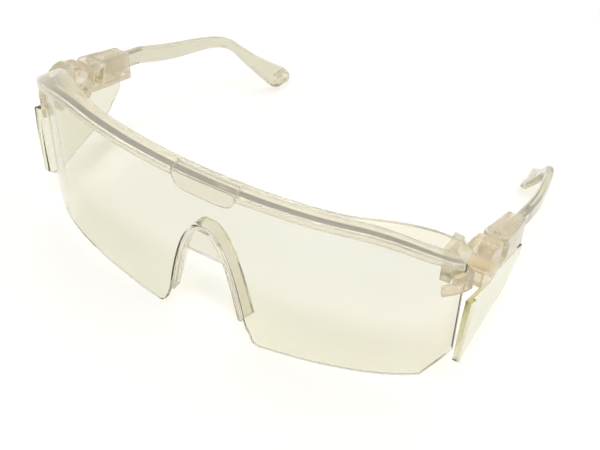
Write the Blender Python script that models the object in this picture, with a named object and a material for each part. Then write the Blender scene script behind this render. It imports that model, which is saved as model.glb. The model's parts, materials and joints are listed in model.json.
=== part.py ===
"""Over-the-glasses safety spectacles: a clear wrap-round lens in a brow frame, with adjustable temples.

The front is modelled with the lens upright and its foremost line on y = 0, and the temples are modelled
level. Empties then slope the temples and lean the whole pair until it stands on the lens and the arm tips.
"""

import math

import bmesh
import bpy

MM = 0.001

# Slope of the temples, from square to the lens
TEMPLE_SLOPE = math.radians(21.8)

# Clearances: between pieces, round a pin, and how far joined bodies run into each other
GAP = 0.3 * MM
PIN_CLEARANCE = 0.12 * MM
OVERLAP = 0.1 * MM

# Lens: an elliptical wrap, with angles counted from the centre line
SPAN_RADIUS = 69.9 * MM
WRAP_RADIUS = 24.4 * MM
LENS_END = math.radians(80)
LENS_WALL = 2.2 * MM
LENS_LOW_OUTER = 4.2 * MM
CHAMFER_START = SPAN_RADIUS - 7.4 * MM
CHAMFER_RISE = 9.0 * MM

# Nose cut-out in the lens
NOSE_TOP = 40.2 * MM
NOSE_HALF_WIDTH = 13.7 * MM
NOSE_FLARE = 3.3 * MM
NOSE_FLARE_HEIGHT = 12 * MM
NOSE_CORNER = 3.0 * MM

# Brow frame. Its roof widens towards its ends into wings over the hinges
BROW_TOP = 60 * MM
BROW_DROP = 11.5 * MM
BROW_DROP_START = SPAN_RADIUS - 26.9 * MM
BROW_LIP = 2.6 * MM
BROW_LIP_WALL = 1.1 * MM
BROW_ROOF = 1.4 * MM
BROW_REAR_LIP = 4.0 * MM
BROW_END = math.radians(76)
WING_START = SPAN_RADIUS - 32 * MM
WING_DROP = 1.2 * MM

# Centre latch, a little to one side of the middle
LATCH_CENTRE = 2.0 * MM
LATCH_HALF_WIDTH = 9.6 * MM
LATCH_TAB = 6.2 * MM
LATCH_HOOK = 4.4 * MM

# Temple arm's cross-section, which the housing and the hinge are built round
ARM_HEIGHT = 5.4 * MM
ARM_THICKNESS = 2.8 * MM

# Tilting corner block and its pins
PIVOT_Y = WRAP_RADIUS * (1 - math.cos(LENS_END)) + 8.8 * MM
PIVOT_Z = BROW_TOP - 20 * MM
WING_BACK = PIVOT_Y - 4.5 * MM
SLEEVE_WALL = 1.1 * MM
HOUSING_EDGE = 0.5 * MM
HOUSING_REAR_WIDTH = ARM_THICKNESS + 2 * (GAP + SLEEVE_WALL)
HOUSING_WIDTH = HOUSING_REAR_WIDTH + 1.8 * MM
KNUCKLE_RADIUS = 6.0 * MM
KNUCKLE_INNER = SPAN_RADIUS - 5.0 * MM
KNUCKLE_WIDTH = HOUSING_WIDTH
TOOTH_COUNT = 36
TOOTH_DEPTH = 0.3 * MM
TOOTH_BAND = 1.5 * MM
LUG_WIDTH = 2.8 * MM
LUG_RADIUS = 4.0 * MM
TILT_PIN_RADIUS = 1.4 * MM
PIN_HEAD = 0.9 * MM
FOLD_PIN_X = KNUCKLE_INNER + KNUCKLE_WIDTH / 2 + 0.1 * MM
FOLD_PIN_Y = 10.0 * MM
FOLD_PIN_RADIUS = 1.0 * MM
BARREL_RADIUS = 2.5 * MM
BLOCK_BACK = FOLD_PIN_Y - HOUSING_WIDTH / 2 - 0.5 * MM

# Clips round the ends of the lens, each with a long prong and a short one above it
CLIP_LOW = PIVOT_Z - 0.9 * MM
CLIP_SPLIT = PIVOT_Z + 2.5 * MM
CLIP_HIGH = PIVOT_Z + 5.6 * MM
CLIP_REACH = math.radians(13)
CLIP_SHORT_REACH = math.radians(8.5)
CLIP_WALL = 1.2 * MM

# Temple housing
SLEEVE_FLOOR = 2.7 * MM
SLEEVE_ROOF = 0.7 * MM
HOUSING_TOP = 5.6 * MM
HOUSING_HEIGHT = SLEEVE_FLOOR + ARM_HEIGHT + 2 * GAP + SLEEVE_ROOF
EAR_THICKNESS = 1.9 * MM
SLEEVE_START = FOLD_PIN_Y + BARREL_RADIUS + 1.7 * MM
HOUSING_REAR = SLEEVE_START + 12.8 * MM
HOUSING_REAR_SLANT = 3.5 * MM

# Temple arm, sliding in the housing. Behind its teeth it runs through stations, each with how far inward it
# is and the (back, up) of its top and bottom edges, in millimetres
ARM_START = SLEEVE_START + 5.2 * MM
TOOTH_PITCH = 1.6 * MM
TOOTH_NOTCH = 0.5 * MM
ARM_TEETH = 10
ARM_CORNER = 0.7 * MM
ARM_STATIONS = (
    (0.0, (37.0, 4.6), (37.0, -0.8)),
    (1.3, (53.0, 3.2), (53.0, -2.2)),
    (3.0, (65.0, 3.0), (65.0, -1.6)),
    (4.7, (74.0, 2.8), (74.0, -1.0)),
    (6.4, (82.0, 1.6), (80.6, -1.7)),
    (8.3, (88.5, -1.6), (85.8, -4.0)),
    (10.8, (95.5, -5.4), (91.4, -8.4)),
    (13.7, (103.0, -8.8), (96.6, -12.6)),
    (16.2, (110.0, -11.6), (100.6, -15.8)),
    (17.1, (113.2, -13.6), (102.2, -17.2)),
    (17.4, (114.4, -15.4), (103.8, -17.9)),
    (17.5, (113.2, -16.9), (105.6, -18.1)),
)
ARM_STEPS = 4
SLOT_LENGTH = 7.2 * MM
SLOT_WIDTH = 2.6 * MM
SLOT_CENTRE = (17.0, 108.2, -14.9)
SLOT_TURN = math.radians(18)

# Sprung catch in the housing's floor
CATCH_START = SLEEVE_START + 2.4 * MM
CATCH_LENGTH = 8.0 * MM
CATCH_WIDTH = 2.6 * MM
CATCH_WALL = 0.9 * MM
CATCH_NIB = 0.6 * MM

# Side shields, as an outline of (back, up) corners in millimetres, round from the front of the top edge. The
# panel is inside the housing's outer face by its inset, and leans in towards its tip
SHIELD_WALL = 1.2 * MM
SHIELD_INSET = 0.6 * MM
SHIELD_LEAN = 0.8 * MM
SHIELD_FLANGE = 2.6 * MM
SHIELD_RIM = 0.8 * MM
SHIELD_TOP = HOUSING_TOP - HOUSING_HEIGHT - GAP
SHIELD_OUTLINE = (
    (-9.0, -7.0),
    (6.4, -7.2),
    (8.8, SHIELD_TOP / MM),
    (30.6, SHIELD_TOP / MM),
    (31.8, -9.0),
    (27.0, -17.0),
    (5.4, -30.2),
    (2.2, -31.4),
    (-0.4, -30.2),
    (-3.6, -22.4),
    (-6.8, -14.0),
)
RAIL_WIDTH = 2.0 * MM
RAIL_HEIGHT = 1.1 * MM

# Nose bridge
BRIDGE_WALL = 1.3 * MM
BRIDGE_DEPTH = 6.0 * MM
BRIDGE_SPREAD = 1.6 * MM
BRIDGE_LOW = 9.0 * MM
WEB_LOW = NOSE_TOP - 11 * MM
WEB_FACES = (0.6 * MM, 2.1 * MM)

ROUND_SIDES = 32

CLEAR = (0.93, 0.92, 0.80, 1.0)
CREAM = (0.80, 0.74, 0.60, 1.0)


def clear_scene():
    for obj in list(bpy.data.objects):
        bpy.data.objects.remove(obj, do_unlink=True)


def plastic(name, colour, roughness):
    material = bpy.data.materials.new(name)
    material.use_nodes = True
    shader = material.node_tree.nodes["Principled BSDF"]
    shader.inputs["Base Color"].default_value = colour
    shader.inputs["Roughness"].default_value = roughness
    material.diffuse_color = colour
    return material


def empty(name, location, tilt, parent=None):
    """An axis system turned about the left-right axis."""
    obj = bpy.data.objects.new(name, None)
    obj.location = location
    obj.rotation_euler = (tilt, 0, 0)
    obj.parent = parent
    bpy.context.collection.objects.link(obj)
    return obj


def mesh_object(name, bm, parent, material=None, origin=(0, 0, 0)):
    """Turns a bmesh into a named object whose origin is the given point of its parent."""
    bmesh.ops.recalc_face_normals(bm, faces=bm.faces)
    bmesh.ops.translate(bm, vec=[-value for value in origin], verts=bm.verts)
    mesh = bpy.data.meshes.new(name)
    bm.to_mesh(mesh)
    bm.free()
    obj = bpy.data.objects.new(name, mesh)
    obj.location = origin
    obj.parent = parent
    bpy.context.collection.objects.link(obj)
    if material:
        mesh.materials.append(material)
        mesh.shade_smooth()
        mesh.set_sharp_from_angle(angle=math.radians(35))
    return obj


def loft(rings):
    """A closed body through rings of equal length, with a face over each end."""
    bm = bmesh.new()
    rows = [[bm.verts.new(point) for point in ring] for ring in rings]
    count = len(rows[0])
    for first, second in zip(rows, rows[1:]):
        for i in range(count):
            j = (i + 1) % count
            bm.faces.new((first[i], first[j], second[j], second[i]))
    bm.faces.new(rows[0])
    bm.faces.new(rows[-1])
    return bm


def box(low, high):
    (x0, y0, z0), (x1, y1, z1) = low, high
    ring = [(x0, y0), (x1, y0), (x1, y1), (x0, y1)]
    return loft([[(x, y, z) for x, y in ring] for z in (z0, z1)])


def rod(centre, axis, radius, start, end):
    """A round bar along axis 0, 1 or 2 through centre."""
    rings = []
    for along in (start, end):
        ring = []
        for i in range(ROUND_SIDES):
            angle = 2 * math.pi * i / ROUND_SIDES
            point = [radius * math.cos(angle), radius * math.sin(angle)]
            point.insert(axis, along)
            ring.append(tuple(c + p for c, p in zip(centre, point)))
        rings.append(ring)
    return loft(rings)


def combine(obj, bm, operation, name):
    """Joins a bmesh to an object, or cuts it away, with an exact Boolean."""
    tool = mesh_object(name, bm, obj.parent)
    tool.hide_render = True
    tool.display_type = "WIRE"
    modifier = obj.modifiers.new(name, "BOOLEAN")
    modifier.operation = operation
    modifier.object = tool


def wrap_point(angle, outward, z):
    """A point at an angle round the lens, a distance outside its front face."""
    normal_x = math.sin(angle) / SPAN_RADIUS
    normal_y = -math.cos(angle) / WRAP_RADIUS
    length = math.hypot(normal_x, normal_y)
    x = SPAN_RADIUS * math.sin(angle) + outward * normal_x / length
    y = WRAP_RADIUS * (1 - math.cos(angle)) + outward * normal_y / length
    return (x, y, z)


def wrap_band(angles, section):
    """A body lofted round the lens. section(angle) gives its (outward, z) corners."""
    return loft([[wrap_point(a, out, z) for out, z in section(a)] for a in angles])


def spread(start, end, count):
    return [start + (end - start) * i / count for i in range(count + 1)]


def brow_top(angle):
    """The height of the brow's top face, which falls towards the hinges."""
    x = SPAN_RADIUS * abs(math.sin(angle))
    past = max(0, x - BROW_DROP_START) / (SPAN_RADIUS - BROW_DROP_START)
    return BROW_TOP - BROW_DROP * past**2


def nose_half_width(below_top):
    """Half the nose cut-out's width at a depth below its top."""
    share = below_top / NOSE_TOP
    flare = max(0, below_top - (NOSE_TOP - NOSE_FLARE_HEIGHT)) / NOSE_FLARE_HEIGHT
    return NOSE_HALF_WIDTH * share**0.4 + NOSE_FLARE * flare**2


def lens_low_line():
    """(x, z) points of the lens's lower edge, from the middle of the nose to the outer end."""
    points = [(0.0, NOSE_TOP)]
    for share in (0.004, 0.02, 0.06, 0.12, 0.2, 0.3, 0.42, 0.55, 0.68, 0.78, 0.87):
        points.append((nose_half_width(share * NOSE_TOP), NOSE_TOP * (1 - share)))
    foot_x = nose_half_width(NOSE_TOP - NOSE_CORNER)
    for i in range(1, 6):
        turn = math.pi / 2 * i / 5
        points.append((foot_x + NOSE_CORNER * (1 - math.cos(turn)), NOSE_CORNER * (1 - math.sin(turn))))
    start_x = points[-1][0]
    for x in spread(start_x, CHAMFER_START, 16)[1:]:
        share = (x - start_x) / (CHAMFER_START - start_x)
        points.append((x, LENS_LOW_OUTER * share))
    end_x = SPAN_RADIUS * math.sin(LENS_END)
    for x in spread(CHAMFER_START, end_x, 5)[1:]:
        share = (x - CHAMFER_START) / (end_x - CHAMFER_START)
        points.append((x, LENS_LOW_OUTER + CHAMFER_RISE * share))
    return points


def make_lens(front, material):
    half = [(math.asin(x / SPAN_RADIUS), z) for x, z in lens_low_line()]
    low = {angle: z for angle, z in half}
    low.update({-angle: z for angle, z in half})

    def section(angle):
        high = brow_top(angle) - BROW_ROOF - GAP
        return [(0, low[angle]), (0, high), (-LENS_WALL, high), (-LENS_WALL, low[angle])]

    return mesh_object("lens", wrap_band(sorted(low), section), front, material)


def wing_edge(angle):
    """The (x, y) of the roof's rear edge, which runs back to the hinge as a wing at each end."""
    x, y, _ = wrap_point(angle, -LENS_WALL - GAP - BROW_LIP_WALL, 0)
    front_x = SPAN_RADIUS * abs(math.sin(angle))
    full_x = SPAN_RADIUS * math.sin(BROW_END)
    ease = max(0, (front_x - WING_START) / (full_x - WING_START)) ** 2
    edge_x = abs(x) + (front_x - abs(x)) * ease
    return math.copysign(edge_x, angle), y + (WING_BACK - y) * ease, ease


def brow_ring(angle):
    """A roof over the lens with a lip in front of it and a deeper lip behind it."""
    top = brow_top(angle)
    front_out = GAP + BROW_LIP_WALL
    rear_in = -LENS_WALL - GAP
    back = rear_in - BROW_LIP_WALL
    edge_x, edge_y, ease = wing_edge(angle)
    edge_top = top - WING_DROP * ease
    lips = [
        (back, top - BROW_ROOF),
        (back, top - BROW_REAR_LIP),
        (rear_in, top - BROW_REAR_LIP),
        (rear_in, top - BROW_ROOF),
        (GAP, top - BROW_ROOF),
        (GAP, top - BROW_LIP),
    ]
    ring = [wrap_point(angle, front_out, top - BROW_LIP), wrap_point(angle, front_out, top)]
    ring += [(edge_x, edge_y + OVERLAP, edge_top), (edge_x, edge_y + OVERLAP, edge_top - BROW_ROOF)]
    return ring + [wrap_point(angle, out, z) for out, z in lips]


def make_brow_frame(front, material):
    angles = spread(-BROW_END, BROW_END, 56)
    brow = mesh_object("brow_frame", loft([brow_ring(angle) for angle in angles]), front, material)
    lug_out = KNUCKLE_INNER - GAP
    lug_in = lug_out - LUG_WIDTH
    web_top = brow_top(math.asin(lug_out / SPAN_RADIUS)) - WING_DROP - 0.5 * BROW_ROOF
    web_front = wrap_point(BROW_END, 0, 0)[1] + GAP
    for side in (-1, 1):
        label = side_name(side)
        low = (side * lug_in, web_front, PIVOT_Z)
        high = (side * lug_out, PIVOT_Y - LUG_RADIUS + MM, web_top)
        combine(brow, box(low, high), "UNION", label + "_lug_web")
        lug = rod((0, PIVOT_Y, PIVOT_Z), 0, LUG_RADIUS, side * lug_in, side * lug_out)
        combine(brow, lug, "UNION", label + "_lug")
        reach = [side * (lug_in - MM), side * (lug_out + MM)]
        bore = rod((0, PIVOT_Y, PIVOT_Z), 0, TILT_PIN_RADIUS + PIN_CLEARANCE, *reach)
        combine(brow, bore, "DIFFERENCE", label + "_lug_bore")
    notch_ends = [math.asin((LATCH_CENTRE + end) / SPAN_RADIUS) for end in (-notch_half(), notch_half())]
    notch_back = -LENS_WALL - GAP - 2 * OVERLAP

    def notch(angle):
        low = BROW_TOP - BROW_REAR_LIP - MM
        high = BROW_TOP + MM
        front_out = GAP + BROW_LIP_WALL + MM
        return [(front_out, low), (front_out, high), (notch_back, high), (notch_back, low)]

    combine(brow, wrap_band(spread(*notch_ends, 8), notch), "DIFFERENCE", "latch_notch")


def notch_half():
    """Half the width of the gap in the brow bar that takes the latch."""
    return LATCH_HALF_WIDTH + GAP


def make_latch(front, material):
    """The centre latch: a saddle over the lens's top edge, whose front tab hooks on the lens."""
    ends = [math.asin((LATCH_CENTRE + end) / SPAN_RADIUS) for end in (-LATCH_HALF_WIDTH, LATCH_HALF_WIDTH)]
    out = 2 * GAP + BROW_LIP_WALL
    back = -LENS_WALL

    def section(angle):
        past = abs(SPAN_RADIUS * math.sin(angle) - LATCH_CENTRE) - (LATCH_HALF_WIDTH - LATCH_HOOK)
        rise = LATCH_HOOK * (1 - math.sqrt(1 - min(1, max(0, past) / LATCH_HOOK) ** 2)) * 0.7
        low = BROW_TOP - LATCH_TAB + rise
        roof = BROW_TOP - BROW_ROOF
        return [(out, low), (out, BROW_TOP), (back, BROW_TOP), (back, roof), (GAP, roof), (GAP, low)]

    mesh_object("lens_latch", wrap_band(spread(*ends, 18), section), front, material)


def side_name(side):
    return "left" if side < 0 else "right"


def clip_plan(reach, trim):
    """A C round the lens's end edge, that reaches forward by an angle and is thinned by a trim."""
    turn = trim / WRAP_RADIUS
    past_end = LENS_END + math.radians(0.9) + turn
    tip = LENS_END + math.radians(2.5) - turn
    rear = LENS_END - math.radians(3) + turn
    front_in = GAP + trim
    front_out = GAP + CLIP_WALL - trim
    back_in = -LENS_WALL - GAP - trim
    back_out = -LENS_WALL - GAP - CLIP_WALL + trim
    plan = [wrap_point(a, front_out, 0) for a in spread(LENS_END - reach, tip, 8)]
    plan += [wrap_point(a, back_out, 0) for a in spread(tip, rear, 2)]
    plan += [wrap_point(a, back_in, 0) for a in spread(rear, past_end, 2)]
    return plan + [wrap_point(a, front_in, 0) for a in spread(past_end, LENS_END - reach, 8)]


def make_lens_clip(side, front, material):
    """A C-shaped clip closed round the end edge of the lens, with two prongs in front."""
    spine_reach = CLIP_SHORT_REACH / 4
    label = side_name(side)
    parts = (
        (CLIP_REACH, 0, CLIP_LOW, CLIP_SPLIT),
        (CLIP_SHORT_REACH, 0, CLIP_SPLIT + GAP, CLIP_HIGH),
        (spine_reach, OVERLAP, CLIP_LOW + GAP, CLIP_HIGH - GAP),
    )
    bodies = []
    for reach, trim, low, high in parts:
        plan = clip_plan(reach, trim)
        bodies.append(loft([[(side * x, y, z) for x, y, _ in plan] for z in (low, high)]))
    clip = mesh_object(label + "_lens_clip", bodies[0], front, material)
    combine(clip, bodies[2], "UNION", label + "_clip_spine")
    combine(clip, bodies[1], "UNION", label + "_short_prong")


def make_nose_bridge(front, material):
    """A saddle in the cut-out: a flange along each side, and a web across its narrow top."""
    reach = NOSE_TOP - GAP - BRIDGE_LOW
    heights = [BRIDGE_LOW + reach * share for share in (0, 0.16, 0.35, 0.54, 0.7, 0.83, 0.92, 0.97, 1)]
    right = [(nose_half_width(NOSE_TOP - z) - GAP, z) for z in heights]
    line = [(-x, z) for x, z in right] + [(x, z) for x, z in reversed(right)]
    rings = []
    for i, (x, z) in enumerate(line):
        before = line[max(0, i - 1)]
        after = line[min(len(line) - 1, i + 1)]
        along = (after[0] - before[0], after[1] - before[1])
        length = math.hypot(*along)
        inward = (along[1] / length * BRIDGE_WALL, -along[0] / length * BRIDGE_WALL)
        spreading = BRIDGE_SPREAD * (1 - z / NOSE_TOP) * (1 if x > 0 else -1)
        rings.append([
            (x, 2 * OVERLAP, z),
            (x, LENS_WALL + MM, z),
            (x + spreading, BRIDGE_DEPTH, z),
            (x + spreading + inward[0], BRIDGE_DEPTH, z + inward[1]),
            (x + inward[0], LENS_WALL + MM, z + inward[1]),
            (x + inward[0], 2 * OVERLAP, z + inward[1]),
        ])
    bridge = mesh_object("nose_bridge", loft(rings), front, material)
    web_high = NOSE_TOP - 2 * MM
    web = [(nose_half_width(NOSE_TOP - z) - 2 * GAP, z) for z in spread(WEB_LOW, web_high, 3)]
    outline = web + [(-x, z) for x, z in reversed(web)]
    plate = loft([[(x, y, z) for x, z in outline] for y in WEB_FACES])
    combine(bridge, plate, "UNION", "bridge_web")


def knuckle_ring(x, tooth):
    """The knuckle's outline across its axis, with click teeth of the given depth."""
    ring = []
    for i in range(2 * TOOTH_COUNT):
        angle = math.pi * i / TOOTH_COUNT
        radius = KNUCKLE_RADIUS - tooth * (i % 2)
        ring.append((x, radius * math.cos(angle), radius * math.sin(angle)))
    return ring


def make_tilt_block(side, temple, material):
    """The rounded corner block that clicks round the tilt pin and carries the fold barrel."""
    outer = KNUCKLE_INNER + KNUCKLE_WIDTH
    step = KNUCKLE_INNER + TOOTH_BAND
    faces = [(KNUCKLE_INNER, TOOTH_DEPTH), (step, TOOTH_DEPTH), (step + TOOTH_DEPTH, 0), (outer, 0)]
    rings = [knuckle_ring(side * x, tooth) for x, tooth in faces]
    label = side_name(side)
    block = mesh_object(label + "_tilt_block", loft(rings), temple, material)
    body_low = (side * (KNUCKLE_INNER + OVERLAP), 0.0, HOUSING_TOP - HOUSING_HEIGHT)
    body_high = (side * (outer - OVERLAP), BLOCK_BACK, HOUSING_TOP)
    combine(block, box(body_low, body_high), "UNION", label + "_body")
    low, high = barrel_span()
    boss_low = (side * (FOLD_PIN_X - BARREL_RADIUS), BLOCK_BACK / 2, low)
    boss_high = (side * (FOLD_PIN_X + BARREL_RADIUS), FOLD_PIN_Y, high)
    combine(block, box(boss_low, boss_high), "UNION", label + "_boss")
    centre = (side * FOLD_PIN_X, FOLD_PIN_Y, 0)
    combine(block, rod(centre, 2, BARREL_RADIUS, low, high), "UNION", label + "_barrel")
    fold_bore = rod(centre, 2, FOLD_PIN_RADIUS + PIN_CLEARANCE, low - MM, high + MM)
    combine(block, fold_bore, "DIFFERENCE", label + "_fold_bore")
    ends = (side * (KNUCKLE_INNER - MM), side * (outer + MM))
    tilt_bore = rod((0, 0, 0), 0, TILT_PIN_RADIUS + PIN_CLEARANCE, *ends)
    combine(block, tilt_bore, "DIFFERENCE", label + "_tilt_bore")


def barrel_span():
    """The barrel's lower and upper faces, between the housing's ears."""
    floor = HOUSING_TOP - HOUSING_HEIGHT
    return floor + EAR_THICKNESS + GAP, HOUSING_TOP - EAR_THICKNESS - GAP


def make_pins(side, temple, material):
    label = side_name(side)
    start = KNUCKLE_INNER - GAP - LUG_WIDTH
    head = KNUCKLE_INNER + KNUCKLE_WIDTH + GAP
    pin = mesh_object(
        label + "_tilt_pin", rod((0, 0, 0), 0, TILT_PIN_RADIUS, side * start, side * (head + OVERLAP)),
        temple, material,
    )
    cap = rod((0, 0, 0), 0, TILT_PIN_RADIUS + MM, side * head, side * (head + PIN_HEAD))
    combine(pin, cap, "UNION", label + "_pin_head")
    low = HOUSING_TOP - HOUSING_HEIGHT + OVERLAP
    centre = (side * FOLD_PIN_X, FOLD_PIN_Y, 0)
    shaft = rod(centre, 2, FOLD_PIN_RADIUS, low, HOUSING_TOP - OVERLAP)
    mesh_object(label + "_hinge_pin", shaft, temple, material)


def make_housing(side, fold, material):
    """The sleeve that folds on the hinge pin and guides the arm. Its origin is on the fold axis."""
    label = side_name(side)
    floor = HOUSING_TOP - HOUSING_HEIGHT
    radius = HOUSING_WIDTH / 2
    rings = []
    for z, rear in ((floor, HOUSING_REAR + HOUSING_REAR_SLANT), (HOUSING_TOP, HOUSING_REAR)):
        ring = []
        for i in range(17):
            angle = math.pi * (1 + i / 16)
            ring.append((radius * math.cos(angle), radius * math.sin(angle), z))
        ring.append((HOUSING_REAR_WIDTH / 2, rear - FOLD_PIN_Y, z))
        ring.append((-HOUSING_REAR_WIDTH / 2, rear - FOLD_PIN_Y, z))
        rings.append(ring)
    housing = mesh_object(label + "_temple_housing", loft(rings), fold, material)
    edges = housing.modifiers.new("soft_edges", "BEVEL")
    edges.width = HOUSING_EDGE
    edges.segments = 2
    edges.limit_method = "ANGLE"
    edges.angle_limit = math.radians(50)
    fork_back = BARREL_RADIUS + 2 * GAP
    low = (-HOUSING_WIDTH, -HOUSING_WIDTH, floor + EAR_THICKNESS)
    high = (HOUSING_WIDTH, fork_back, HOUSING_TOP - EAR_THICKNESS)
    combine(housing, box(low, high), "DIFFERENCE", label + "_fork")
    sleeve_low, sleeve_high = sleeve_span()
    half = ARM_THICKNESS / 2 + GAP
    low = (-half, SLEEVE_START - FOLD_PIN_Y, sleeve_low)
    high = (half, HOUSING_REAR + HOUSING_REAR_SLANT, sleeve_high)
    combine(housing, box(low, high), "DIFFERENCE", label + "_sleeve")
    pocket = CATCH_WIDTH / 2 + GAP
    start = CATCH_START - GAP - FOLD_PIN_Y
    low = (-pocket, start, floor - MM)
    high = (pocket, start + CATCH_LENGTH + 2 * GAP, sleeve_low + 0.5 * MM)
    combine(housing, box(low, high), "DIFFERENCE", label + "_catch_pocket")
    bore = rod((0, 0, 0), 2, FOLD_PIN_RADIUS + PIN_CLEARANCE, floor - MM, HOUSING_TOP + MM)
    combine(housing, bore, "DIFFERENCE", label + "_ear_bores")


def sleeve_span():
    """The lower and upper faces of the hollow that the arm slides in."""
    low = HOUSING_TOP - HOUSING_HEIGHT + SLEEVE_FLOOR
    return low, low + ARM_HEIGHT + 2 * GAP


def make_catch(side, fold, material):
    """The sprung tongue whose nib clicks along the arm's teeth."""
    low = HOUSING_TOP - HOUSING_HEIGHT + GAP
    start = CATCH_START - FOLD_PIN_Y
    high = low + CATCH_WALL
    nib = sleeve_span()[0] - OVERLAP
    profile = [
        (start, low),
        (start + CATCH_LENGTH, low),
        (start + CATCH_LENGTH, high),
        (start + CATCH_LENGTH - CATCH_NIB, high),
        (start + CATCH_LENGTH - 2 * CATCH_NIB, nib),
        (start + CATCH_LENGTH - 3 * CATCH_NIB, high),
        (start, high),
    ]
    half = CATCH_WIDTH / 2
    rings = [[(x, y, z) for y, z in profile] for x in (-half, half)]
    mesh_object(side_name(side) + "_length_catch", loft(rings), fold, material)


def make_shield(side, fold, material):
    """A clear panel under the housing, with a thick rim along its front edge and a rail along its top."""
    outline = [(back * MM, up * MM) for back, up in SHIELD_OUTLINE]
    low = min(up for _, up in outline)
    outer = HOUSING_WIDTH / 2 - SHIELD_INSET
    inner = outer - SHIELD_WALL
    label = side_name(side)

    def ring(corners, x):
        lean = [SHIELD_LEAN * (SHIELD_TOP - z) / (SHIELD_TOP - low) for _, z in corners]
        return [(side * (x - shift), y - FOLD_PIN_Y, z) for (y, z), shift in zip(corners, lean)]

    panel = loft([ring(outline, x) for x in (inner, outer)])
    shield = mesh_object(label + "_side_shield", panel, fold, material)
    front = [outline[0]] + outline[:6:-1]
    tip = len(front) - 1
    inset = [(y + SHIELD_FLANGE * (1 - i / tip), z) for i, (y, z) in enumerate(front)][:-1]
    rim = [(y, z + OVERLAP / 2) for y, z in front + inset[::-1]]
    rim_body = loft([ring(rim, x) for x in (inner + OVERLAP, outer + SHIELD_RIM)])
    combine(shield, rim_body, "UNION", label + "_rim")
    (rail_front, rail_top), (rail_back, _) = outline[2:4]
    rail_in = inner + 4 * OVERLAP
    rail_start = rail_front + 2 * GAP - FOLD_PIN_Y
    rail_end = rail_back - 2 * GAP - FOLD_PIN_Y
    rail_low = (side * (rail_in - RAIL_WIDTH), rail_start, rail_top - RAIL_HEIGHT - OVERLAP)
    rail_high = (side * rail_in, rail_end, rail_top - OVERLAP)
    combine(shield, box(rail_low, rail_high), "UNION", label + "_rail")


def smooth_route(points, steps):
    """Points along a Catmull-Rom curve through the given points."""
    padded = [points[0]] + list(points) + [points[-1]]
    route = []
    for p0, p1, p2, p3 in zip(padded, padded[1:], padded[2:], padded[3:]):
        for step in range(steps):
            t = step / steps
            route.append(tuple(
                0.5 * (2 * b + (c - a) * t + (2 * a - 5 * b + 4 * c - d) * t**2 + (3 * b - a - 3 * c + d) * t**3)
                for a, b, c, d in zip(p0, p1, p2, p3)
            ))
    route.append(tuple(points[-1]))
    return route


def arm_ring(side, inward, top, bottom, notch=0.0):
    """An eight-cornered cross-section of the arm, between its top and bottom edges."""
    height = math.dist(top, bottom)
    up = ((top[0] - bottom[0]) / height, (top[1] - bottom[1]) / height)
    half = ARM_THICKNESS / 2
    corner = min(ARM_CORNER, height * 0.2)
    profile = [
        (-half + corner, notch),
        (half - corner, notch),
        (half, corner + notch),
        (half, height - corner),
        (half - corner, height),
        (-half + corner, height),
        (-half, height - corner),
        (-half, corner + notch),
    ]
    ring = []
    for across, tall in profile:
        y, z = bottom[0] + up[0] * tall, bottom[1] + up[1] * tall
        ring.append((side * (across - inward), y - ARM_START, z))
    return ring


def make_arm(side, slide, material):
    """The arm: toothed where it slides, curved inwards, and fanned out at a drop tip with a lanyard slot."""
    label = side_name(side)
    centre = sum(sleeve_span()) / 2
    low, high = centre - ARM_HEIGHT / 2, centre + ARM_HEIGHT / 2
    rings = [arm_ring(side, 0, (ARM_START, high), (ARM_START, low))]
    for i in range(ARM_TEETH):
        for share, notch in ((0.35, 0), (0.5, TOOTH_NOTCH), (0.85, TOOTH_NOTCH), (1.0, 0)):
            y = ARM_START + (i + share) * TOOTH_PITCH
            rings.append(arm_ring(side, 0, (y, high), (y, low), notch))
    stations = [tuple(v * MM for v in (inward, *top, *bottom)) for inward, top, bottom in ARM_STATIONS]
    for inward, top_y, top_z, bottom_y, bottom_z in smooth_route(stations, ARM_STEPS):
        rings.append(arm_ring(side, inward, (top_y, top_z), (bottom_y, bottom_z)))
    arm = mesh_object(label + "_temple_arm", loft(rings), slide, material)
    slot = mesh_object(label + "_lanyard_slot", stadium(SLOT_LENGTH, SLOT_WIDTH, 12 * MM), slide)
    inward, back, up = (value * MM for value in SLOT_CENTRE)
    slot.location = (-side * inward, back - ARM_START, up)
    slot.rotation_euler = (SLOT_TURN - math.pi / 2, 0, 0)
    slot.hide_render = True
    slot.display_type = "WIRE"
    cut = arm.modifiers.new("lanyard_slot", "BOOLEAN")
    cut.operation = "DIFFERENCE"
    cut.object = slot


def stadium(length, width, depth):
    """A rounded slot through X, long in Z."""
    outline = []
    half = (length - width) / 2
    for end, centre in ((0, half), (math.pi, -half)):
        for i in range(9):
            angle = end + math.pi * i / 8
            outline.append((width / 2 * math.cos(angle), centre + width / 2 * math.sin(angle)))
    return loft([[(x, y, z) for y, z in outline] for x in (-depth / 2, depth / 2)])


def stand_on_table(front):
    """Leans the pair until lens and arm tips are level, then puts the origin under its middle."""
    bpy.context.view_layer.update()
    graph = bpy.context.evaluated_depsgraph_get()
    lens, arms, everything = [], [], []
    for obj in bpy.data.objects:
        if obj.type != "MESH" or obj.hide_render:
            continue
        points = [obj.matrix_world @ vertex.co for vertex in obj.evaluated_get(graph).data.vertices]
        everything += points
        if obj.name == "lens":
            lens += points
        elif obj.name.endswith("_arm"):
            arms += points
    low, high = 0.0, math.radians(45)
    for _ in range(50):
        lean = (low + high) / 2
        if lowest(arms, lean) < lowest(lens, lean):
            low = lean
        else:
            high = lean
    depths = [point.y * math.cos(lean) - point.z * math.sin(lean) for point in everything]
    front.rotation_euler = (lean, 0, 0)
    front.location = (0, -(min(depths) + max(depths)) / 2, -lowest(everything, lean))


def lowest(points, lean):
    """The least height of the points once they are turned back by an angle about X."""
    return min(point.y * math.sin(lean) + point.z * math.cos(lean) for point in points)


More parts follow.
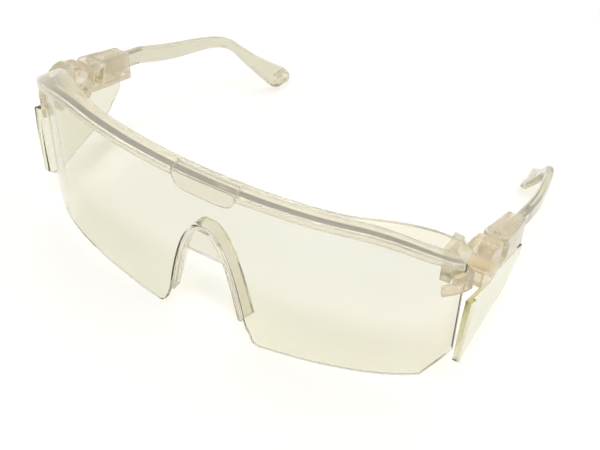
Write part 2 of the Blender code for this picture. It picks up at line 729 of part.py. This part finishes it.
def main():
    clear_scene()
    clear = plastic("clear_polycarbonate", CLEAR, 0.05)
    moulded = plastic("tinted_polycarbonate", CREAM, 0.25)
    front = empty("front", (0, 0, 0), 0)
    temple = empty("tilt_axis", (0, PIVOT_Y, PIVOT_Z), -TEMPLE_SLOPE, front)
    make_lens(front, clear)
    make_brow_frame(front, moulded)
    make_latch(front, moulded)
    make_nose_bridge(front, moulded)
    for side in (-1, 1):
        label = side_name(side)
        fold = empty(label + "_fold_axis", (side * FOLD_PIN_X, FOLD_PIN_Y, 0), 0, temple)
        slide = empty(label + "_slide_axis", (0, ARM_START - FOLD_PIN_Y, 0), 0, fold)
        make_lens_clip(side, front, moulded)
        make_tilt_block(side, temple, moulded)
        make_pins(side, temple, moulded)
        make_housing(side, fold, moulded)
        make_catch(side, fold, moulded)
        make_shield(side, fold, clear)
        make_arm(side, slide, moulded)
    stand_on_table(front)


main()
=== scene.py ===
import json
import math

import bmesh
import bpy
from mathutils import Euler, Matrix, Vector


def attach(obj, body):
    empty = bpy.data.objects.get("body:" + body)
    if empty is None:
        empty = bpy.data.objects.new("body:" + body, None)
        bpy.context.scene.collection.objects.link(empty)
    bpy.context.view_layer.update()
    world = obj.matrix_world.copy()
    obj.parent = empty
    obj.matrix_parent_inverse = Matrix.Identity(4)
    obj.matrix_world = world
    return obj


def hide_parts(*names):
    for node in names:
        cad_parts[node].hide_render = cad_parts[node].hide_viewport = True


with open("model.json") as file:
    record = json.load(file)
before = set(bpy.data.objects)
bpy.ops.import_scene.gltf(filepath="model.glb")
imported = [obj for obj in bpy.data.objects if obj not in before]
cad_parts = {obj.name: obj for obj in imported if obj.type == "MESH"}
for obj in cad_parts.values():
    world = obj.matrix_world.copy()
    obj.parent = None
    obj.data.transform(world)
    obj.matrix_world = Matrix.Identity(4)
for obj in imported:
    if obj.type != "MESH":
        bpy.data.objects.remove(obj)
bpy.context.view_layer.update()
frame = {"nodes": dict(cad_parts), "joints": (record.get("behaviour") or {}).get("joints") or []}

# LENS
# One moulding of clear, faintly cream polycarbonate, wrapped round the face on half an ellipse,
# with polished edges. The nose is cut out of its middle and its outer lower corners are cut
# off. It stands in the front's own frame, which is found from the tilt and length joints.
tilt_joint = next(joint for joint in frame["joints"] if joint["name"] == "right_tilt")
slide_joint = next(joint for joint in frame["joints"] if joint["name"] == "right_length")
temple_level = Vector(slide_joint["axis"]).normalized()
temple_frame = Matrix.Translation((0, *tilt_joint["pos_m"][1:])) @ Matrix((
    (1, 0, 0, 0),
    (0, temple_level.y, -temple_level.z, 0),
    (0, temple_level.z, temple_level.y, 0),
    (0, 0, 0, 1),
))
TEMPLE_SLOPE = math.radians(21.8)
PIVOT = Vector((0, 0.029, 0.040))
front_frame = temple_frame @ Matrix.Rotation(TEMPLE_SLOPE, 4, "X") @ Matrix.Translation(-PIVOT)
LENS_SPAN = 0.0699
LENS_WRAP = 0.0244
LENS_END = math.radians(80)
LENS_WALL = 0.0022
LENS_ROUND = 0.0005
CLEARANCE = 0.0003
NOSE_TOP = 0.0402
NOSE_HALF_WIDTH = 0.0137
NOSE_FLARE = 0.0033
NOSE_FLARE_START = 0.0295
NOSE_FLARE_HEIGHT = 0.012
NOSE_CORNER = 0.003
OUTER_LOW = 0.0042
CHAMFER_START = 0.0625
CHAMFER_RISE = 0.009
BROW_TOP = 0.060
BROW_ROOF = 0.0014
BROW_DROP = 0.0115
BROW_DROP_START = 0.043


def wrap_point(angle, outward, z):
    """A point at an angle round the lens, a distance outside its front face."""
    across, back = math.sin(angle) / LENS_SPAN, -math.cos(angle) / LENS_WRAP
    length = math.hypot(across, back)
    x = LENS_SPAN * math.sin(angle) + outward * across / length
    y = LENS_WRAP * (1 - math.cos(angle)) + outward * back / length
    return x, y, z


def brow_top(angle):
    """The height of the brow's top face, which falls towards the hinges."""
    past = max(0, LENS_SPAN * abs(math.sin(angle)) - BROW_DROP_START) / (LENS_SPAN - BROW_DROP_START)
    return BROW_TOP - BROW_DROP * past**2


def nose_half_width(below_top):
    """Half the nose cut-out's width at a depth below its top."""
    flare = max(0, below_top - NOSE_FLARE_START) / NOSE_FLARE_HEIGHT
    return NOSE_HALF_WIDTH * (below_top / NOSE_TOP) ** 0.4 + NOSE_FLARE * flare**2


def loft(rings):
    """A closed body through rings of equal length."""
    bm = bmesh.new()
    rows = [[bm.verts.new(point) for point in ring] for ring in rings]
    for first, second in zip(rows, rows[1:]):
        for i in range(len(first)):
            j = (i + 1) % len(first)
            bm.faces.new((first[i], first[j], second[j], second[i]))
    bm.faces.new(rows[0])
    bm.faces.new(rows[-1])
    bmesh.ops.recalc_face_normals(bm, faces=bm.faces)
    return bm


def made_piece(name, bm, place, material, body, node):
    """Puts a moulding in its place, gives it its plastic and lets it ride on its body."""
    mesh = bpy.data.meshes.new(name)
    bm.transform(place)
    bm.to_mesh(mesh)
    bm.free()
    mesh.materials.append(material)
    piece = bpy.data.objects.new(name, mesh)
    bpy.context.scene.collection.objects.link(piece)
    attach(piece, body)
    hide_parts(node)
    return piece


def soft_edges(piece, width, segments, angle):
    """Rounds a piece's edges as its mould does, and shades it smooth between them."""
    rounding = piece.modifiers.new("moulded_edges", "BEVEL")
    rounding.width = width
    rounding.segments = segments
    rounding.limit_method = "ANGLE"
    rounding.angle_limit = math.radians(angle)
    for polygon in piece.data.polygons:
        polygon.use_smooth = True
    piece.data.set_sharp_from_angle(angle=math.radians(angle))
    weighted = piece.modifiers.new("even_shading", "WEIGHTED_NORMAL")
    weighted.keep_sharp = True


# Flow marks and dust: slight changes of tint, gloss and surface height in a moulding
flow = bpy.data.node_groups.new("moulding_flow", "ShaderNodeTree")
for socket_name, socket_type, value in (
    ("Tint", "NodeSocketColor", (1, 1, 1, 1)),
    ("Deep Tint", "NodeSocketColor", (1, 1, 1, 1)),
    ("Gloss", "NodeSocketFloat", 0.03),
):
    socket = flow.interface.new_socket(socket_name, in_out="INPUT", socket_type=socket_type)
    socket.default_value = value
for socket_name, socket_type in (
    ("Color", "NodeSocketColor"),
    ("Roughness", "NodeSocketFloat"),
    ("Height", "NodeSocketFloat"),
):
    flow.interface.new_socket(socket_name, in_out="OUTPUT", socket_type=socket_type)
flow_in = flow.nodes.new("NodeGroupInput")
flow_out = flow.nodes.new("NodeGroupOutput")
where = flow.nodes.new("ShaderNodeTexCoord")
waves = flow.nodes.new("ShaderNodeTexNoise")
waves.inputs["Scale"].default_value = 30.0
waves.inputs["Detail"].default_value = 2.0
waves.inputs["Distortion"].default_value = 0.6
specks = flow.nodes.new("ShaderNodeTexNoise")
specks.inputs["Scale"].default_value = 900.0
specks.inputs["Detail"].default_value = 1.0
speck_mask = flow.nodes.new("ShaderNodeMapRange")
speck_mask.inputs["From Min"].default_value = 0.66
speck_mask.inputs["From Max"].default_value = 0.78
tint = flow.nodes.new("ShaderNodeMix")
tint.data_type = "RGBA"
gloss = flow.nodes.new("ShaderNodeMath")
gloss.operation = "MULTIPLY_ADD"
gloss.inputs[1].default_value = 0.1
flow.links.new(where.outputs["Object"], waves.inputs["Vector"])
flow.links.new(where.outputs["Object"], specks.inputs["Vector"])
flow.links.new(specks.outputs["Fac"], speck_mask.inputs["Value"])
flow.links.new(waves.outputs["Fac"], tint.inputs["Factor"])
flow.links.new(flow_in.outputs["Tint"], tint.inputs["A"])
flow.links.new(flow_in.outputs["Deep Tint"], tint.inputs["B"])
flow.links.new(tint.outputs["Result"], flow_out.inputs["Color"])
flow.links.new(speck_mask.outputs["Result"], gloss.inputs[0])
flow.links.new(flow_in.outputs["Gloss"], gloss.inputs[2])
flow.links.new(gloss.outputs["Value"], flow_out.inputs["Roughness"])
flow.links.new(waves.outputs["Fac"], flow_out.inputs["Height"])

REFRACTIVE_INDEX = 1.3
LAMP_TINT = (0.9, 0.89, 0.84, 1)


def polycarbonate(name, tint, deep_tint, clearness, gloss, ripple, absorbed, depth):
    """A moulded plastic: tinted at its faces and through its depth, with lamps reaching through it."""
    material = bpy.data.materials.new(name)
    material.use_nodes = True
    nodes, links = material.node_tree.nodes, material.node_tree.links
    shader = nodes["Principled BSDF"]
    shader.inputs["IOR"].default_value = REFRACTIVE_INDEX
    shader.inputs["Transmission Weight"].default_value = clearness
    surface = nodes.new("ShaderNodeGroup")
    surface.node_tree = flow
    surface.inputs["Tint"].default_value = (*tint, 1)
    surface.inputs["Deep Tint"].default_value = (*deep_tint, 1)
    surface.inputs["Gloss"].default_value = gloss
    ripples = nodes.new("ShaderNodeBump")
    ripples.inputs["Strength"].default_value = ripple
    ripples.inputs["Distance"].default_value = 0.0004
    links.new(surface.outputs["Color"], shader.inputs["Base Color"])
    links.new(surface.outputs["Roughness"], shader.inputs["Roughness"])
    links.new(surface.outputs["Height"], ripples.inputs["Height"])
    links.new(ripples.outputs["Normal"], shader.inputs["Normal"])
    path = nodes.new("ShaderNodeLightPath")
    passing = nodes.new("ShaderNodeBsdfTransparent")
    passing.inputs["Color"].default_value = LAMP_TINT
    lamps = nodes.new("ShaderNodeMixShader")
    links.new(path.outputs["Is Shadow Ray"], lamps.inputs["Fac"])
    links.new(shader.outputs["BSDF"], lamps.inputs[1])
    links.new(passing.outputs["BSDF"], lamps.inputs[2])
    output = nodes["Material Output"]
    links.new(lamps.outputs["Shader"], output.inputs["Surface"])
    volume = nodes.new("ShaderNodeVolumeAbsorption")
    volume.inputs["Color"].default_value = (*absorbed, 1)
    volume.inputs["Density"].default_value = depth
    links.new(volume.outputs["Volume"], output.inputs["Volume"])
    return material


lens_plastic = polycarbonate(
    "lens_polycarbonate", tint=(0.90, 0.895, 0.83), deep_tint=(0.87, 0.86, 0.79), clearness=1.0,
    gloss=0.02, ripple=0.05, absorbed=(0.8, 0.78, 0.6), depth=70,
)
low_line = [(0.0, NOSE_TOP)]
top_shares = (0.001, 0.004, 0.01, 0.02, 0.035, 0.06, 0.09, 0.12, 0.16, 0.2, 0.25, 0.3, 0.36, 0.42, 0.48)
side_shares = (0.55, 0.62, 0.68, 0.73, 0.78, 0.83, 0.87, 0.9)
for share in top_shares + side_shares:
    low_line.append((nose_half_width(share * NOSE_TOP), NOSE_TOP * (1 - share)))
foot = nose_half_width(NOSE_TOP - NOSE_CORNER)
for i in range(1, 9):
    turn = math.pi / 2 * i / 8
    low_line.append((foot + NOSE_CORNER * (1 - math.cos(turn)), NOSE_CORNER * (1 - math.sin(turn))))
corner_x = low_line[-1][0]
for i in range(1, 41):
    low_line.append((corner_x + (CHAMFER_START - corner_x) * i / 40, OUTER_LOW * i / 40))
end_x = LENS_SPAN * math.sin(LENS_END)
for i in range(1, 13):
    low_line.append((CHAMFER_START + (end_x - CHAMFER_START) * i / 12, OUTER_LOW + CHAMFER_RISE * i / 12))
low_at = {}
for x, z in low_line:
    low_at[math.asin(x / LENS_SPAN)] = z
    low_at[-math.asin(x / LENS_SPAN)] = z
lens_rings = []
for angle in sorted(low_at):
    high = brow_top(angle) - BROW_ROOF - CLEARANCE
    section = [(0, low_at[angle]), (0, high), (-LENS_WALL, high), (-LENS_WALL, low_at[angle])]
    lens_rings.append([wrap_point(angle, outward, z) for outward, z in section])
lens = made_piece(
    "wrap_lens", loft(lens_rings), front_frame, lens_plastic, "front", "lens"
)
soft_edges(lens, LENS_ROUND, 3, 50)

# BROW BAR
# A bar moulded in the same plastic with a cream tint. Its roof covers the lens's
# top edge between a shallow lip in front and a deeper lip behind, widens over the
# hinges, and ends in a bored lug behind each end of the lens.
FLAT_WITHIN = math.radians(0.03)
SOFT_EDGE = 0.0003
CRISP_EDGE = 0.00015


def softened(name, node, body, material, width):
    """A moulding on the CAD shape of one piece, with its faces cleaned and its edges rounded."""
    bm = bmesh.new()
    bm.from_mesh(frame["nodes"][node].data)
    bmesh.ops.remove_doubles(bm, verts=bm.verts, dist=1e-6)
    bmesh.ops.dissolve_limit(bm, angle_limit=FLAT_WITHIN, verts=bm.verts, edges=bm.edges)
    bmesh.ops.recalc_face_normals(bm, faces=bm.faces)
    piece = made_piece(name, bm, Matrix.Identity(4), material, body, node)
    soft_edges(piece, width, 2, 40)


brow_plastic = polycarbonate(
    "brow_polycarbonate", tint=(0.92, 0.90, 0.81), deep_tint=(0.86, 0.83, 0.73), clearness=0.82,
    gloss=0.16, ripple=0.1, absorbed=(0.8, 0.74, 0.58), depth=40,
)
softened("brow_bar", "brow_frame", "front", brow_plastic, SOFT_EDGE)

# CENTRE LATCH
# A saddle in a gap of the brow bar, moulded like it. Its roof lies flush in the bar and its hooked front tab
# snaps over the lens's face, which holds the lens up in the bar.
softened("centre_latch", "lens_latch", "front", brow_plastic, SOFT_EDGE)

# NOSE SADDLE
# A softly rounded clear saddle pushed into the lens's nose cut-out. A flange runs
# back along each side, and a thin web closes its narrow top.
saddle_plastic = polycarbonate(
    "saddle_polycarbonate", tint=(0.87, 0.85, 0.77), deep_tint=(0.82, 0.79, 0.70), clearness=0.9,
    gloss=0.08, ripple=0.1, absorbed=(0.8, 0.74, 0.58), depth=50,
)
softened("nose_saddle", "nose_bridge", "front", saddle_plastic, 0.0004)

# END CLIPS
# A C-shaped clip pressed round each end edge of the lens, with a long prong and a short
# one on the lens's face. Moulded with the hinge parts, in a thicker and milkier plastic.
hinge_plastic = polycarbonate(
    "hinge_polycarbonate", tint=(0.86, 0.80, 0.67), deep_tint=(0.80, 0.73, 0.59), clearness=0.78,
    gloss=0.2, ripple=0.15, absorbed=(0.8, 0.74, 0.58), depth=30,
)
for side in ("left", "right"):
    clip = side + "_lens_clip"
    softened(side + "_end_clip", clip, "front", hinge_plastic, SOFT_EDGE)

# CORNER BLOCKS
# A rounded block at each corner, toothed round its inner rim, that clicks round
# the tilt pin. A square boss behind it carries the fold barrel. One moulding.
for side in ("left", "right"):
    block = side + "_tilt_block"
    softened(
        side + "_corner_block", block, side + "_tilt", hinge_plastic, CRISP_EDGE,
    )

# PINS
# Plain moulded pins: a headed one through each lug and corner block, and a straight one down through each
# housing's ears and the barrel between them.
for side in ("left", "right"):
    for pin in ("_tilt_pin", "_hinge_pin"):
        frame["nodes"][side + pin].data.materials.clear()
        frame["nodes"][side + pin].data.materials.append(hinge_plastic)

# TEMPLE SLEEVES
# A forked sleeve at each side, moulded hollow. Its ears fold on the hinge pin, the
# arm slides in its rear, and a pocket in its floor takes the catch.
sleeve_plastic = polycarbonate(
    "sleeve_polycarbonate", tint=(0.88, 0.84, 0.73), deep_tint=(0.83, 0.77, 0.65), clearness=0.8,
    gloss=0.18, ripple=0.15, absorbed=(0.8, 0.74, 0.58), depth=30,
)
for side in ("left", "right"):
    sleeve = side + "_temple_housing"
    softened(side + "_sleeve", sleeve, side + "_temple", sleeve_plastic, 0.0002)

# LENGTH CATCHES
# A thin sprung tongue in each sleeve's floor. The nib near its end drops between the arm's teeth.
for side in ("left", "right"):
    catch = side + "_length_catch"
    softened(side + "_catch", catch, side + "_temple", sleeve_plastic, 0.0001)

# SIDE SHIELDS
# A thin clear panel under each sleeve, cut to a long triangle. A thick rim stiffens
# its front edge beside the lens, and a rail along its top holds it to the sleeve.
shield_plastic = polycarbonate(
    "shield_polycarbonate", tint=(0.87, 0.86, 0.75), deep_tint=(0.83, 0.81, 0.70), clearness=0.97,
    gloss=0.05, ripple=0.05, absorbed=(0.8, 0.78, 0.5), depth=60,
)
for side in ("left", "right"):
    shield = side + "_side_shield"
    softened(side + "_shield", shield, side + "_temple", shield_plastic, SOFT_EDGE)

# ARMS
# A bar at each side, toothed along its lower edge where it slides. Behind the sleeve
# it bows inwards, then drops and fans out into a flat tip with a slot for a neck cord.
arm_plastic = polycarbonate(
    "arm_polycarbonate", tint=(0.78, 0.76, 0.64), deep_tint=(0.72, 0.69, 0.57), clearness=0.85,
    gloss=0.1, ripple=0.12, absorbed=(0.8, 0.76, 0.58), depth=50,
)
for side in ("left", "right"):
    arm = side + "_temple_arm"
    softened(side + "_arm_bar", arm, side + "_arm", arm_plastic, SOFT_EDGE)

# TABLE
# A wide, flat disc of white paper under the pair, matt and faintly uneven, so that the
# clear plastic is seen against white from every side.
table_mesh = bpy.data.meshes.new("table_top")
bm = bmesh.new()
bmesh.ops.create_circle(bm, cap_ends=True, radius=6.0, segments=96)
bm.to_mesh(table_mesh)
bm.free()
table = bpy.data.objects.new("table_top", table_mesh)
bpy.context.scene.collection.objects.link(table)
table.location.z = -0.0002
paper = bpy.data.materials.new("white_paper")
paper.use_nodes = True
paper_nodes, paper_links = paper.node_tree.nodes, paper.node_tree.links
paper_grain = paper_nodes.new("ShaderNodeTexNoise")
paper_grain.inputs["Scale"].default_value = 40.0
paper_shade = paper_nodes.new("ShaderNodeMix")
paper_shade.data_type = "RGBA"
paper_shade.inputs["A"].default_value = (0.92, 0.92, 0.92, 1)
paper_shade.inputs["B"].default_value = (0.90, 0.90, 0.89, 1)
paper_links.new(paper_grain.outputs["Fac"], paper_shade.inputs["Factor"])
paper_links.new(paper_shade.outputs["Result"], paper_nodes["Principled BSDF"].inputs["Base Color"])
paper_nodes["Principled BSDF"].inputs["Roughness"].default_value = 0.9
paper_nodes["Principled BSDF"].inputs["Specular IOR Level"].default_value = 0.1
table_mesh.materials.append(paper)

# LIGHT
# A white tent that darkens a little towards the table, and one softbox above and
# in front that gives the lens a faint shadow under the brow bar.
world = bpy.data.worlds.new("studio")
world.use_nodes = True
bpy.context.scene.world = world
sky, links = world.node_tree.nodes, world.node_tree.links
direction = sky.new("ShaderNodeTexCoord")
height = sky.new("ShaderNodeSeparateXYZ")
shade = sky.new("ShaderNodeValToRGB")
shade.color_ramp.elements[0].position = 0.0
shade.color_ramp.elements[0].color = (0.80, 0.76, 0.70, 1)
shade.color_ramp.elements[1].position = 0.6
shade.color_ramp.elements[1].color = (1.0, 1.0, 1.0, 1)
links.new(direction.outputs["Generated"], height.inputs["Vector"])
links.new(height.outputs["Z"], shade.inputs["Fac"])
links.new(shade.outputs["Color"], sky["Background"].inputs["Color"])
sky["Background"].inputs["Strength"].default_value = 0.9
key = bpy.data.lights.new("key_softbox", "AREA")
key.shape = "DISK"
key.size = 0.2
key.energy = 6
key_stand = bpy.data.objects.new("key_softbox", key)
key_stand.location = (0.2, -0.56, 1.2)
key_stand.rotation_euler = (-key_stand.location).to_track_quat("-Z", "Y").to_euler()
bpy.context.scene.collection.objects.link(key_stand)

# CAMERA
# A hand-held close view from in front, to the right and above.
camera = bpy.data.objects.new("camera", bpy.data.cameras.new("camera"))
bpy.context.scene.collection.objects.link(camera)
camera.data.sensor_width = 36
camera.data.lens = 72
camera.data.shift_x = -0.0293
camera.data.shift_y = 0.0078
camera.data.clip_start = 0.01
camera.location = (0.13366, -0.27631, 0.24497)
VIEW_AZIMUTH, VIEW_HEIGHT, VIEW_ROLL = (math.radians(angle) for angle in (25.282, 38.973, 7.520))
level_camera = Euler((math.pi / 2 - VIEW_HEIGHT, 0, VIEW_AZIMUTH)).to_matrix().to_4x4()
camera.rotation_euler = (level_camera @ Matrix.Rotation(VIEW_ROLL, 4, "Z")).to_euler()
bpy.context.scene.camera = camera
bpy.context.scene.view_settings.view_transform = "Standard"
bpy.context.scene.cycles.max_bounces = 32
bpy.context.scene.cycles.transmission_bounces = 32
